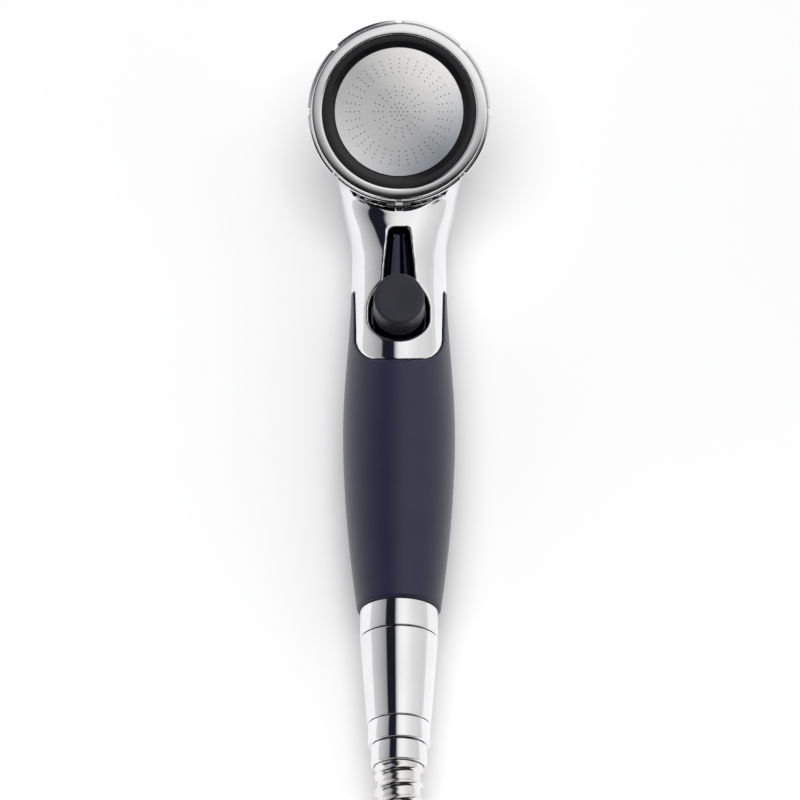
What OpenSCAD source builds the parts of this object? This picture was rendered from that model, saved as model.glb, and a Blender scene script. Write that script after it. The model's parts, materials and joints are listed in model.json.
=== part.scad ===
// Handheld shower head with a stop button and a double-lock metal hose.
// It lies on its back on Z = 0. The handle's centre line runs along Y, with the head at +Y
// and the hose leaving at -Y. The origin is under the middle of the handset.

/* [Head] */
// Outer radius of the face bezel
bezel_r = 29; // [28.8:0.1:29.4]
// Radius of the opening in the bezel
bezel_opening_r = 24.4; // [24.2:0.1:24.6]
// Radius of the perforated spray plate
plate_r = 20.3; // [20:0.1:20.6]
// Thickness of the spray plate
plate_t = 1; // [0.6:0.1:1.2]
// Tilt of the face towards the handle
face_tilt = 25; // [24:0.5:26]
// Number of grip notches in the bezel
notches = 8; // [4:1:12]
// Radius of one spray hole
spray_hole_r = 0.35; // [0.25:0.05:0.5]

/* [Handle] */
// Largest radius of the grip, which is also the height of the handle's centre line
belly_r = 17.5; // [17.3:0.1:17.8]
// Radius of the grip at its upper end
grip_top_r = 15.1; // [15:0.1:15.4]
// Radius of the grip at its lower end
grip_low_r = 12.8; // [12.6:0.1:13]
// Wall of the grip sleeve and of the chrome tongue
sleeve_wall = 2.2; // [2:0.1:2.4]
// Half the width of the chrome tongue that runs down the grip
tongue_half = 13.7; // [13.4:0.1:14]
// Radius of the waterway in the handle
water_r = 5.2; // [4.8:0.1:5.4]

/* [Stop button] */
// Radius of the button cap
button_r = 8; // [7.9:0.05:8.1]
// Stretch of the cap along the handle
button_stretch = 1.6; // [1:0.1:2]
// Travel of the button
button_travel = 3; // [2.5:0.1:3]
// Radius of the well around the button
well_r = 9.2; // [9.1:0.1:9.4]

/* [Hose] */
// Outer diameter of the hose
hose_d = 15; // [14:0.5:15]
// Radius of the cone nut at its large end
nut_r = 12; // [11.8:0.1:12.2]
// Radius of the cone nut at its small end
nut_small_r = 9.7; // [9.5:0.1:9.9]
// Bore radius of the thread in the wall nut
wall_thread_r = 9.32; // [9.3:0.01:9.35]

/* [Hidden] */
$fn = 96;

// The handle's own frame counts millimetres along the centre line towards the hose.
axis_y = 103;
axis_z = belly_r;
// The face frame has its origin in the middle of the face plane.
face_y = 89.7;
face_z = 46.2;

// Face stack, measured from the face plane inwards
bezel_depth = 6.5;
rim_w = -6.8;
ledge_w = -11.3;
thread_r = 26.7;
lip_w = -2.65;
bowl_r = 28.6;
bowl_depth = 23;
chamber_r = 22.9;
chamber_depth = 16;
gasket_t = 1.4;

// Stations along the handle
neck_end = 60.5;
joint_a = 63.5;
button_a = 75;
tongue_end = 94;
tongue_corner = 7.5;
belly_a = 112;
grip_start = 60;
grip_end = 172;
collar_end = 181;
nut_end = 209;
ring_end = 216;
ferrule_end = 222.8;

// Heights of the button valve
block_low = 8.5;
block_top = 25.2;
floor_top = 26.8;
button_top = 38.4;
// The well is longer than the cap, and reaches further towards the hose.
well_shift = 0.9;
well_stretch = 2.8;
skirt_low = 30;
seat_top = 15.5;
seal_t = 1.4;
seal_low = seat_top + button_travel + 0.05;

// Neck sections: station, half width, lowest and highest point
neck = [
    [12, 17, 14.5, 26],
    [34, 17.8, 4.5, 28],
    [47, 15.2, 1.7, 29.8],
    [neck_end + 1, 14.7, axis_z - 14.7, axis_z + 14.7]
];

// Hose: two full turns of the hank lie on each other, and the last stretch lies on them.
hose_r = hose_d / 2;
layer = hose_d;
hank_z = 8.5;
fold_r = 45;
hank_x = -23.5;
hank_front = -220;
hank_back = -380;
raised_from = -270;
run_x = hank_x + fold_r;
wall_y = -340;
wall_z = hank_z + 1.5 * layer + 12.3;
lead_route = [
    [0, axis_y - ferrule_end, axis_z], [0, -130, axis_z], [0.5, -138, 17.1], [1.5, -146, 15.9],
    [3, -154, 13.7], [5, -162, 11.4], [8, -170, 9.6], [12, -180, 8.6], [16, -191, hank_z],
    [19.5, -203, hank_z], [run_x, -220, hank_z]
];
end_route = [
    [run_x, -220, hank_z + 2 * layer], [run_x, -250, hank_z + 2 * layer],
    [run_x, -280, hank_z + 2 * layer], [run_x, -300, hank_z + 2 * layer + 1],
    [run_x, -315, hank_z + 2 * layer + 3], [run_x, -328, wall_z - 0.4], [run_x, wall_y, wall_z]
];

function grip_r(a) = a < belly_a
    ? grip_top_r + (belly_r - grip_top_r) * (1 + cos(180 * (belly_a - a) / 52)) / 2
    : belly_r - (belly_r - grip_low_r) * pow((a - belly_a) / (grip_end - belly_a), 1.8);
function arc(cx, cy, r, from, to, steps = 6) =
    [for (i = [0:steps]) let (t = from + (to - from) * i / steps) [cx + r * cos(t), cy + r * sin(t)]];
function quarter_ellipse(rx, top, depth) =
    [for (t = [0:7.5:90]) [rx * cos(t), top - depth * sin(t)]];
function helix(r, z0, z1, turns) =
    [for (i = [0:12 * turns]) let (t = 30 * i) [r * cos(t), r * sin(t), z0 + (z1 - z0) * i / (12 * turns)]];
function unit(v) = v / norm(v);
function heading(p, i) = unit(p[min(i + 1, len(p) - 1)] - p[max(i - 1, 0)]);
function ring_of(p, i, r, sides) =
    let (t = heading(p, i), s = unit(cross(t, [0, 0, 1])), u = cross(s, t))
    [for (k = [0:sides - 1]) p[i] + r * (cos(360 * k / sides) * s + sin(360 * k / sides) * u)];

// Frames
module handle() { translate([0, axis_y, axis_z]) rotate([90, 0, 0]) children(); }
module face() { translate([0, face_y, face_z]) rotate([face_tilt, 0, 0]) children(); }
module button() { translate([0, axis_y - button_a, 0]) children(); }
module wall_end() { translate([run_x, wall_y, wall_z]) rotate([90, 0, 0]) children(); }

// Shared shapes
module bar(r, z0, z1) { translate([0, 0, z0]) cylinder(r = r, h = z1 - z0); }
module pipe(r, bore, z0, z1) {
    difference() {
        bar(r, z0, z1);
        bar(bore, z0 - 1, z1 + 1);
    }
}
module turned(outline) { rotate_extrude() polygon(outline); }
module o_ring(r, section, z) { rotate_extrude() translate([r, z]) circle(r = section, $fn = 24); }
module around(count, r) { for (i = [0:count - 1]) rotate(360 * i / count) translate([r, 0, 0]) children(); }
module long_bar(r, stretch, z0, z1) {
    translate([0, stretch / 2, 0]) bar(r, z0, z1);
    translate([0, -stretch / 2, 0]) bar(r, z0, z1);
    translate([-r, -stretch / 2, z0]) cube([2 * r, stretch, z1 - z0]);
}
module tube(p, r, sides) {
    points = [for (i = [0:len(p) - 1]) each ring_of(p, i, r, sides)];
    walls = [for (i = [0:len(p) - 2], k = [0:sides - 1])
        [i * sides + k, i * sides + (k + 1) % sides, (i + 1) * sides + (k + 1) % sides, (i + 1) * sides + k]];
    first = [for (k = [sides - 1:-1:0]) k];
    last = [for (k = [0:sides - 1]) (len(p) - 1) * sides + k];
    polyhedron(points, concat(walls, [first, last]));
}
module grip_solid(inset) {
    stations = [for (a = [grip_start:4:grip_end]) [grip_r(a) - inset, a]];
    turned(concat([[0, grip_start]], stations, [[0, grip_end]]));
}
// The part of the handle's skin that belongs to the chrome body
module chrome_zone() {
    translate([0, axis_y - joint_a, axis_z]) rotate([11, 0, 0]) translate([-40, 0, -40]) cube([80, 60, 80]);
    flat_half = tongue_half - tongue_corner;
    translate([0, axis_y - tongue_end, axis_z + 4]) {
        for (x = [-flat_half, flat_half]) translate([x, tongue_corner, 0]) cylinder(r = tongue_corner, h = 20);
        translate([-flat_half, 0, 0]) cube([2 * flat_half, 40, 20]);
        translate([-tongue_half, tongue_corner, 0]) cube([2 * tongue_half, 30, 20]);
    }
}
module neck_section(s) {
    translate([0, axis_y - s[0], (s[2] + s[3]) / 2]) rotate([90, 0, 0])
        linear_extrude(0.02) scale([s[1], (s[3] - s[2]) / 2]) circle(1, $fn = 32);
}

// Head
module chrome_body() {
    color("gainsboro") difference() {
        union() {
            face() turned(concat([[0, rim_w]], quarter_ellipse(bowl_r, rim_w, bowl_depth)));
            for (i = [0:len(neck) - 2]) hull() {
                neck_section(neck[i]);
                neck_section(neck[i + 1]);
            }
            intersection() {
                handle() grip_solid(0);
                chrome_zone();
            }
        }
        face() bar(bezel_r + 0.5, rim_w, 20);
        face() bar(thread_r + 0.15, ledge_w, rim_w + 1);
        face() turned(concat([[0, ledge_w + 0.01]], quarter_ellipse(chamber_r, ledge_w, chamber_depth)));
        handle() translate([0, -2.5, 53]) rotate([-164.8, 0, 0]) bar(4.2, 0, 36);
        handle() bar(8, 50, neck_end + 1);
        difference() {
            handle() intersection() {
                grip_solid(sleeve_wall);
                bar(30, neck_end, grip_end);
            }
            button() translate([0, -well_shift, 0]) long_bar(well_r + 1.5, well_stretch, block_top + 0.1, 40);
            button() translate([-7, 5, block_top + 0.1]) cube([14, 12, 20]);
        }
        button() translate([0, -well_shift, 0]) long_bar(well_r, well_stretch, floor_top, 50);
        button() bar(2.2, block_low, 30);
        button() translate([0, 3, 34.2]) rotate([-99.6, 0, 0]) cylinder(r1 = 5.8, r2 = 3.1, h = 26.4);
    }
    color("gainsboro") face() difference() {
        bar(3.4, -28.5, -7.6);
        bar(1.2, -20, -7);
    }
}
module face_bezel() {
    outline = concat(
        [[bezel_opening_r, lip_w], [bezel_opening_r, -0.6], [bezel_opening_r + 1.2, 0],
         [bezel_r - 1.6, -0.1], [bezel_r - 1.2, -0.9], [bezel_r - 0.95, -0.9], [bezel_r - 0.8, -0.55]],
        arc(bezel_r - 0.6, -1.15, 0.6, 75, 0, 4),
        [[bezel_r, -bezel_depth], [thread_r, -bezel_depth], [thread_r, ledge_w + 0.3],
         [thread_r - 1.2, ledge_w + 0.3], [thread_r - 1.2, lip_w]]
    );
    color("silver") face() difference() {
        turned(outline);
        around(notches, bezel_r + 1) bar(1.5, -bezel_depth - 1, 1);
    }
}
module spray_frame() {
    outline = [
        [plate_r + 0.1, -plate_t - 1.2], [plate_r + 0.1, -0.8], [bezel_opening_r - 0.2, -0.8],
        [bezel_opening_r - 0.2, lip_w - 0.1], [thread_r - 1.4, lip_w - 0.1], [thread_r - 1.4, ledge_w + gasket_t + 0.1],
        [22.4, ledge_w + gasket_t + 0.1], [22.4, -4.2], [18.8, -4.2], [18.8, -plate_t - 1.2]
    ];
    color("dimgray") face() turned(outline);
}
// Three groups of holes: a centre cluster, an inner band and an outer band
module spray_plate() {
    rings = [
        [1, 0], [6, 1.3], [12, 2.7], [18, 5.2], [18, 6.6], [18, 8],
        [36, 12.6], [36, 14], [36, 15.4], [36, 16.8]
    ];
    color("lightgray") face() difference() {
        bar(plate_r, -plate_t - 1.2, -1.2);
        for (g = rings) around(g[0], g[1])
            translate([0, 0, -plate_t - 2]) cylinder(r = spray_hole_r, h = plate_t + 2, $fn = 6);
    }
}
module face_gasket() { color("black") face() pipe(thread_r - 1.5, 22.9, ledge_w, ledge_w + gasket_t); }
module diffuser() {
    color("white") face() difference() {
        bar(21.9, -7.5, -5.5);
        bar(1.7, -8, -5);
        around(8, 9) bar(2, -8, -5);
        around(16, 17) bar(1.5, -8, -5);
    }
}
module diffuser_screw() {
    color("silver") face() difference() {
        union() {
            bar(1.15, -16, -5.4);
            bar(2.8, -5.4, -4);
        }
        translate([0, 0, -4.8]) cylinder(r = 1.2, h = 2, $fn = 6);
    }
}

// Handle
module grip_sleeve() {
    color("midnightblue") difference() {
        handle() difference() {
            grip_solid(0);
            grip_solid(sleeve_wall);
            bar(20, 50, neck_end + 1.05);
        }
        chrome_zone();
    }
}
module handle_core() {
    color("white") difference() {
        handle() difference() {
            union() {
                bar(7.9, 50.6, neck_end + 0.9);
                bar(7.6, 60, 171);
                for (a = [92:20:152]) bar(grip_r(a + 2) - sleeve_wall - 0.15, a, a + 2);
                bar(10.3, 165, 171);
                intersection() {
                    translate([0, 0, button_a]) rotate([-90, 0, 0]) bar(9, block_low - axis_z, block_top - axis_z);
                    bar(12.9, 62, 88);
                }
            }
            bar(water_r, 50, 180);
            bar(6.6, 158, 172);
            for (a = [53.5, 57.5]) pipe(9, 6.4, a - 1, a + 1);
        }
        button() bar(7.5, 10, 40);
    }
}
module core_o_rings() { color("black") handle() for (a = [53.5, 57.5]) o_ring(7.2, 0.75, a); }

// Stop valve under the button
module valve_cartridge() {
    color("ivory") button() difference() {
        bar(7.4, 10.1, block_top - 0.1);
        bar(5.6, 11.5, 30);
        translate([0, 0, 13]) rotate([90, 0, 0]) cylinder(r = 1.2, h = 12, $fn = 48);
        translate([0, 0, 18]) rotate([-90, 0, 0]) cylinder(r = 2.5, h = 12, $fn = 48);
    }
}
module valve_seat() { color("silver") button() pipe(5.5, 2.6, 14.3, seat_top); }
module valve_stem() {
    color("silver") button() {
        bar(1.8, seal_low + seal_t, button_top - 1.6);
        bar(3.6, seal_low + seal_t, seal_low + seal_t + 1.1);
        bar(1, seal_low + 0.2, seal_low + seal_t);
    }
}
module valve_seal() { color("black") button() pipe(4.2, 1, seal_low, seal_low + seal_t); }
module stem_gland() {
    color("white") button() difference() {
        bar(5.5, 22.3, block_top);
        bar(1.87, 20, 30);
        bar(3.1, 23.6, 24.8);
    }
}
module stem_o_ring() { color("black") button() o_ring(2.5, 0.55, 24.2); }
module cam_sleeve() {
    color("white") button() difference() {
        pipe(5, 4.2, floor_top, floor_top + 4.4);
        around(8, 4.6) rotate(45) translate([-0.4, -0.4, floor_top + 3]) cube([0.8, 0.8, 3]);
    }
}
module latch_rotor() {
    color("orange") button() {
        pipe(3.5, 2, 30.4, 33);
        around(4, 3.6) translate([-0.3, -0.5, 30.4]) cube([0.7, 1, 1.6]);
    }
}
module button_spring() {
    color("gray") button() tube(helix(5.85, floor_top + 0.45, button_top - 2.1, 5), 0.35, 6);
}
module button_cap() {
    color("black") button() difference() {
        union() {
            long_bar(button_r, button_stretch, skirt_low, button_top - 0.8);
            long_bar(button_r - 0.6, button_stretch, skirt_low, button_top);
        }
        bar(6.7, skirt_low - 1, button_top - 1.6);
    }
}

// Inlet
module end_collar() {
    outline = concat(
        [[10, grip_end + 0.2]],
        arc(nut_r - 0.5, grip_end + 0.7, 0.5, -90, 0, 3),
        arc(nut_r - 0.5, collar_end - 0.5, 0.5, 0, 90, 3),
        [[10, collar_end]]
    );
    color("gainsboro") handle() turned(outline);
}
module inlet_spigot() {
    color("goldenrod") handle() difference() {
        union() {
            bar(6.5, 158.2, 172);
            bar(9.85, 171.2, 190.5);
        }
        bar(water_r - 0.2, 150, 195);
        bar(8, 174, 195);
        pipe(8, 5.7, 162, 163.8);
    }
}
module spigot_o_ring() { color("black") handle() o_ring(6.2, 0.36, 162.9); }
module check_valve_body() {
    color("ivory") handle() {
        pipe(7.9, 4.6, 183.5, 186);
        pipe(7.9, 7, 174.1, 183.5);
        difference() {
            pipe(7, 1.3, 174.1, 175.3);
            around(4, 4.2) bar(1.4, 173, 177);
        }
    }
}
module check_poppet() {
    color("royalblue") handle() {
        bar(5.6, 181.9, 183.4);
        bar(1.2, 174.4, 182);
    }
}
module check_spring() { color("gray") handle() tube(helix(3, 175.6, 181.6, 4), 0.25, 6); }
module flow_regulator() {
    color("teal") handle() difference() {
        bar(7.8, 186.2, 189.5);
        around(6, 4.6) bar(1.2, 185, 191);
    }
}
module inlet_washer() { color("black") handle() pipe(9.7, 5.5, 190.6, 192.6); }
module cone_nut() {
    low = collar_end + 0.3;
    outline = concat(
        [[9.93, low]],
        arc(nut_r - 0.6, low + 0.6, 0.6, -90, 0, 3),
        arc(nut_small_r - 0.5, nut_end - 0.5, 0.5, 5, 90, 3),
        [[8, nut_end], [8, nut_end + 3.8], [6.7, nut_end + 3.8], [6.7, 195.6], [9.93, 195.6]]
    );
    color("gainsboro") handle() turned(outline);
}
module swivel_ring() {
    low = nut_end + 0.2;
    outline = concat(
        [[8.05, low]],
        arc(9.05, low + 0.4, 0.4, -90, 0, 3),
        arc(9.05, ring_end - 0.4, 0.4, 0, 90, 3),
        [[6.7, ring_end], [6.7, nut_end + 4], [8.05, nut_end + 4]]
    );
    color("gainsboro") handle() turned(outline);
}
module hose_tail() {
    color("goldenrod") handle() difference() {
        union() {
            bar(9.6, 192.7, 195.4);
            bar(6.4, 195, 217.6);
            for (a = [217:1.8:220.6]) translate([0, 0, a]) cylinder(r1 = 6, r2 = 5.2, h = 1.8);
        }
        bar(4.2, 190, 230);
        pipe(8, 5.35, 202.2, 203.8);
    }
}
module tail_o_ring() { color("black") handle() o_ring(6.02, 0.62, 203); }
module hose_ferrule() {
    outline = concat(
        [[6.45, ring_end + 0.2]],
        arc(8, ring_end + 0.7, 0.5, -90, 0, 3),
        arc(8.1, ferrule_end - 0.4, 0.4, 0, 90, 3),
        [[7.6, ferrule_end], [7.6, ring_end + 1.8], [6.45, ring_end + 1.8]]
    );
    color("silver") handle() turned(outline);
}

// Hose
module hose_lead() { color("silver") tube(lead_route, hose_r, 12); }
module hose_end() { color("silver") tube(end_route, hose_r, 12); }
module hank_outline(reach) {
    for (y = [hank_front, hank_back]) translate([hank_x, y]) circle(r = fold_r + reach);
    translate([hank_x - fold_r - reach, hank_back]) square([2 * (fold_r + reach), hank_front - hank_back]);
}
module hose_hank() {
    low = hank_z - hose_r;
    color("silver") translate([0, 0, low]) {
        linear_extrude(2 * layer) difference() {
            hank_outline(hose_r);
            hank_outline(-hose_r);
        }
        linear_extrude(3 * layer) intersection() {
            difference() {
                hank_outline(hose_r);
                hank_outline(-hose_r);
            }
            union() {
                translate([hank_x - 60, raised_from]) square([60, 120]);
                translate([hank_x - 1, hank_front]) square([60, 70]);
            }
        }
    }
}
module strap(x, high) {
    w = hose_d + 2;
    translate([x - w / 2, -312, 0]) difference() {
        cube([w, 12, high]);
        translate([1, -1, 1]) cube([hose_d, 14, high - 2]);
    }
}
module hank_ties() {
    color("black") {
        strap(hank_x - fold_r, 2 * layer + 2);
        strap(run_x, 3 * layer + 4);
    }
}

// Wall end of the hose, measured from the hose's end outwards
module wall_ferrule() {
    outline = concat(
        [[7.6, 0]],
        arc(8.1, 0.4, 0.4, -90, 0, 3),
        arc(8, 6.1, 0.5, 0, 90, 3),
        [[6.45, 6.6], [6.45, 5], [7.6, 5]]
    );
    color("silver") wall_end() turned(outline);
}
module wall_tail() {
    color("goldenrod") wall_end() difference() {
        union() {
            bar(6.4, 0.3, 13);
            bar(9.5, 12.4, 14.6);
        }
        bar(4.2, -1, 20);
    }
}
module wall_washer() { color("black") wall_end() pipe(9.6, 5.5, 14.7, 16.7); }
module wall_nut() {
    outline = concat(
        [[6.7, 6.9]],
        arc(11.5, 7.7, 0.8, -90, 0, 3),
        arc(11.8, 26.5, 0.5, 0, 90, 3),
        [[wall_thread_r, 27], [wall_thread_r, 17], [9.85, 17], [9.85, 12.2], [6.7, 12.2]]
    );
    color("gainsboro") wall_end() difference() {
        turned(outline);
        around(24, 12.8) bar(0.8, 10, 24);
    }
}

chrome_body();
face_bezel();
spray_frame();
spray_plate();
face_gasket();
diffuser();
diffuser_screw();
grip_sleeve();
handle_core();
core_o_rings();
valve_cartridge();
valve_seat();
valve_stem();
valve_seal();
stem_gland();
stem_o_ring();
cam_sleeve();
latch_rotor();
button_spring();
button_cap();
end_collar();
inlet_spigot();
spigot_o_ring();
check_valve_body();
check_poppet();
check_spring();
flow_regulator();
inlet_washer();
cone_nut();
swivel_ring();
hose_tail();
tail_o_ring();
hose_ferrule();
hose_lead();
hose_hank();
hose_end();
hank_ties();
wall_ferrule();
wall_tail();
wall_washer();
wall_nut();
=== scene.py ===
import json
import math

import bpy
import numpy as np
from mathutils import Matrix, Vector


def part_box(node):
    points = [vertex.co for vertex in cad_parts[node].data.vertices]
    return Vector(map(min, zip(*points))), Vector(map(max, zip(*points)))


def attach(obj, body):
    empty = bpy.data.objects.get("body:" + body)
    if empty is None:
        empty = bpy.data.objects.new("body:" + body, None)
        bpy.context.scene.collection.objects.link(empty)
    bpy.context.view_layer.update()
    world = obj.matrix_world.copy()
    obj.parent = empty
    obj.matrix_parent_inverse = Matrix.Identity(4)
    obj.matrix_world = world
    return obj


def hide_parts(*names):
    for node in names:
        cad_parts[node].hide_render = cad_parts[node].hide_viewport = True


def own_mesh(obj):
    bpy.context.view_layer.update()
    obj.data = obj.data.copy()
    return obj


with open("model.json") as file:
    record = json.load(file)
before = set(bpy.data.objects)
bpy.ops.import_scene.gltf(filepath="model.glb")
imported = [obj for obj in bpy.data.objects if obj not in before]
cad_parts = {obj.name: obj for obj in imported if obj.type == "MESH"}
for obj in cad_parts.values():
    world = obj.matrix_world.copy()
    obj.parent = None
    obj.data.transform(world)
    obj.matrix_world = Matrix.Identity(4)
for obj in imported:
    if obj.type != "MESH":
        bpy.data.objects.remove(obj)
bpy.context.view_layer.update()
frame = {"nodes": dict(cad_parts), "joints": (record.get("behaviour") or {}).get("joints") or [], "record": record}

# Lengths in this file are millimetres in the CAD model's frame, and meshes are written in metres.
MM = 0.001


def joint(name):
    return next(j for j in frame["joints"] if j["name"] == name)


def place(name):
    return np.array(joint(name)["pos_m"], float) / MM


def low(node):
    return np.array(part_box(node)[0], float) / MM


def high(node):
    return np.array(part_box(node)[1], float) / MM


# Station of the button's centre along the handle
BUTTON_A = 75

# ---------------------------------------------------------------- places taken from the frame
FACE = place("bezel_turn")
NORMAL = np.array(joint("bezel_turn")["axis"], float)
UP = np.array([0.0, NORMAL[2], -NORMAL[1]])
BUTTON = place("latch_turn")
AXIS_Z = place("nut_spin")[2]
# Stations along the handle are counted from here towards the hose.
AXIS_Y = BUTTON[1] + BUTTON_A
COLLAR_TOP = AXIS_Y - high("end_collar")[1]
COLLAR_END = AXIS_Y - low("end_collar")[1]
NUT_TOP = AXIS_Y - high("cone_nut")[1]
RING_TOP = AXIS_Y - high("swivel_ring")[1]
RING_END = AXIS_Y - low("swivel_ring")[1]
FERRULE_TOP = AXIS_Y - high("hose_ferrule")[1]
FERRULE_END = AXIS_Y - low("hose_ferrule")[1]
BUTTON_TOP = high("button_cap")[2]
SKIRT_LOW = low("button_cap")[2]

PLATE_R = 20

# Hose
HOSE_D = 15.0
HOSE_R = HOSE_D / 2
HANK_Z = 8.5
FOLD_R = 45.0
HANK_X = -23.5
HANK_FRONT = -220.0
HANK_BACK = -380.0
RUN_X = HANK_X + FOLD_R
WALL_Y = -340.0
WALL_Z = HANK_Z + 1.5 * HOSE_D + 12.3


# ---------------------------------------------------------------- camera
def make_camera():
    distance = 1400
    below_face = 91.1
    place_at = FACE + np.array([0.3, 0, 0]) - below_face * UP + distance * NORMAL
    data = bpy.data.cameras.new("camera")
    data.sensor_width = 36
    data.lens = 199.5
    data.clip_end = 20
    camera = bpy.data.objects.new("camera", data)
    bpy.context.scene.collection.objects.link(camera)
    turn = Matrix((np.array([1.0, 0, 0]), UP, NORMAL)).transposed().to_4x4()
    camera.matrix_world = Matrix.Translation(Vector(place_at * MM)) @ turn
    bpy.context.scene.camera = camera


# ---------------------------------------------------------------- mesh helpers
def mesh_piece(name, points, faces, body, replaces=(), normals=None):
    mesh = bpy.data.meshes.new(name)
    mesh.from_pydata((np.asarray(points) * MM).tolist(), [], [list(map(int, f)) for f in faces])
    mesh.validate()
    mesh.update()
    mesh.polygons.foreach_set("use_smooth", [True] * len(mesh.polygons))
    if normals is not None:
        mesh.normals_split_custom_set_from_vertices(np.asarray(normals).tolist())
    piece = bpy.data.objects.new(name, mesh)
    bpy.context.scene.collection.objects.link(piece)
    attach(piece, body)
    if replaces:
        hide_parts(*replaces)
    return piece


def grid_faces(rows, columns, close_rows=False):
    """Quads between rows of points, each row closed on itself."""
    r = np.arange(rows if close_rows else rows - 1)
    c = np.arange(columns)
    i, k = np.meshgrid(r, c, indexing="ij")
    i2, k2 = (i + 1) % rows, (k + 1) % columns
    quads = np.stack([i * columns + k, i * columns + k2, i2 * columns + k2, i2 * columns + k], -1)
    return quads.reshape(-1, 4)


def rounded(outline, steps=4):
    """An outline of (radius, height) points, where a third number rounds that corner."""
    out = []
    n = len(outline)
    for i, p in enumerate(outline):
        here = np.array(p[:2], float)
        r = p[2] if len(p) > 2 else 0
        if r == 0:
            out.append(here)
            continue
        before = np.array(outline[i - 1][:2], float) - here
        after = np.array(outline[(i + 1) % n][:2], float) - here
        before /= np.linalg.norm(before)
        after /= np.linalg.norm(after)
        half = math.acos(np.clip(before @ after, -1, 1)) / 2
        cut = r / math.tan(half)
        centre = here + (before + after) / np.linalg.norm(before + after) * r / math.sin(half)
        a, b = here + before * cut - centre, here + after * cut - centre
        turn = math.atan2(a[0] * b[1] - a[1] * b[0], a @ b)
        for s in range(steps + 1):
            t = turn * s / steps
            out.append(centre + np.array([a[0] * math.cos(t) - a[1] * math.sin(t),
                                          a[0] * math.sin(t) + a[1] * math.cos(t)]))
    return np.array(out)


def turned(name, outline, to_frame, body, replaces=(), segments=192, shape=None, sharp=35):
    """A closed outline of (radius, height) turned about the local z axis; shape changes it point by point."""
    line = rounded(outline)
    angle = np.arange(segments) * 2 * math.pi / segments
    r = np.repeat(line[:, 0:1], segments, 1)
    z = np.repeat(line[:, 1:2], segments, 1)
    t = np.repeat(angle[None, :], len(line), 0)
    if shape:
        r, z = shape(r, z, t)
    local = np.stack([r * np.cos(t), r * np.sin(t), z], -1).reshape(-1, 3)
    piece = mesh_piece(name, to_frame(local), grid_faces(len(line), segments, True), body, replaces)
    fix_direction(piece.data)
    piece.data.set_sharp_from_angle(angle=math.radians(sharp))
    return piece


def fix_direction(mesh):
    """Turns the faces of a closed mesh outwards."""
    co = np.zeros(len(mesh.vertices) * 3)
    mesh.vertices.foreach_get("co", co)
    co = co.reshape(-1, 3)
    mesh.calc_loop_triangles()
    tri = np.zeros(len(mesh.loop_triangles) * 3, int)
    mesh.loop_triangles.foreach_get("vertices", tri)
    a, b, c = (co[tri.reshape(-1, 3)[:, i]] for i in range(3))
    if np.einsum("ij,ij->i", a, np.cross(b, c)).sum() < 0:
        mesh.flip_normals()


def on_handle(p):
    """Local z counts stations along the handle."""
    return np.stack([p[:, 0], AXIS_Y - p[:, 2], AXIS_Z + p[:, 1]], -1)


def on_face(p):
    return FACE + p[:, 0:1] * np.array([1.0, 0, 0]) + p[:, 1:2] * UP + p[:, 2:3] * NORMAL


def on_button(p):
    return p + np.array([BUTTON[0], BUTTON[1], 0])


def on_wall_end(p):
    """Local z counts from the hose's end outwards."""
    return np.stack([RUN_X + p[:, 0], WALL_Y - p[:, 2], WALL_Z + p[:, 1]], -1)


# ---------------------------------------------------------------- implicit surfaces
def smooth_min(a, b, k):
    h = np.maximum(k - np.abs(a - b), 0) / k
    return np.minimum(a, b) - h * h * k / 4


def smooth_max(a, b, k):
    return -smooth_min(-a, -b, k)


def curve_through(stations, values):
    """A smooth function through values given at stations."""
    s, v = np.array(stations, float), np.array(values, float)
    slope = np.gradient(v, s)

    def at(x):
        x = np.clip(x, s[0], s[-1])
        i = np.clip(np.searchsorted(s, x) - 1, 0, len(s) - 2)
        h = s[i + 1] - s[i]
        t = (x - s[i]) / h
        return ((2 * t**3 - 3 * t**2 + 1) * v[i] + (t**3 - 2 * t**2 + t) * h * slope[i]
                + (3 * t**2 - 2 * t**3) * v[i + 1] + (t**3 - t**2) * h * slope[i + 1])

    return at


def gradient(field, p, step=0.02):
    g = np.empty_like(p)
    for i in range(3):
        d = np.zeros(3)
        d[i] = step
        g[:, i] = (field(p + d) - field(p - d)) / (2 * step)
    return g


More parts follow.
